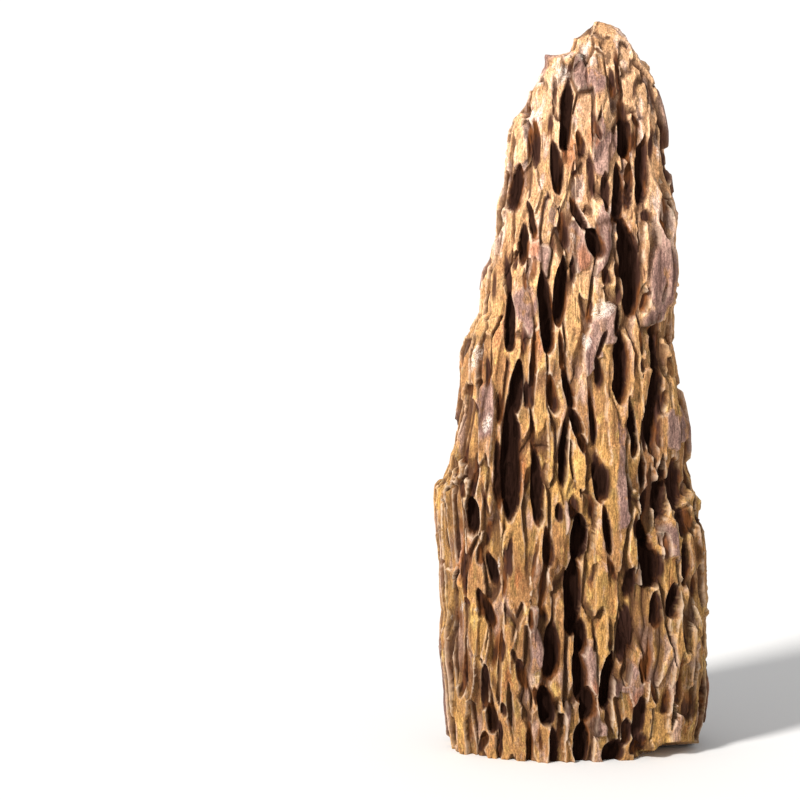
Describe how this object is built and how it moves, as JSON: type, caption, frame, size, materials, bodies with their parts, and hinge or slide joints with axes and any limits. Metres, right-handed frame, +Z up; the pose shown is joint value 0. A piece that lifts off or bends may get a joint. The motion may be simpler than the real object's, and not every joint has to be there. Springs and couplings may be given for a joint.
{
  "type": "pine bark stone",
  "caption": "Tall tapering weathered stone, with upright slots and sharp ribs like pine bark all over, standing on a flat cut base.",
  "frame": {"origin": "under the middle of the stone's box, on its flat base", "axes": "+Z up along the stone's height, -Y towards the viewer of its broad face, +X to that viewer's right"},
  "size_m": [0.2844, 0.174, 0.7393],
  "materials": {
    "stone": "weathered ochre clay stone, matt, with mauve brown old skin and dark slots"
  },
  "bodies": {
    "root": {"stone": "stone"}
  },
  "joints": []
}
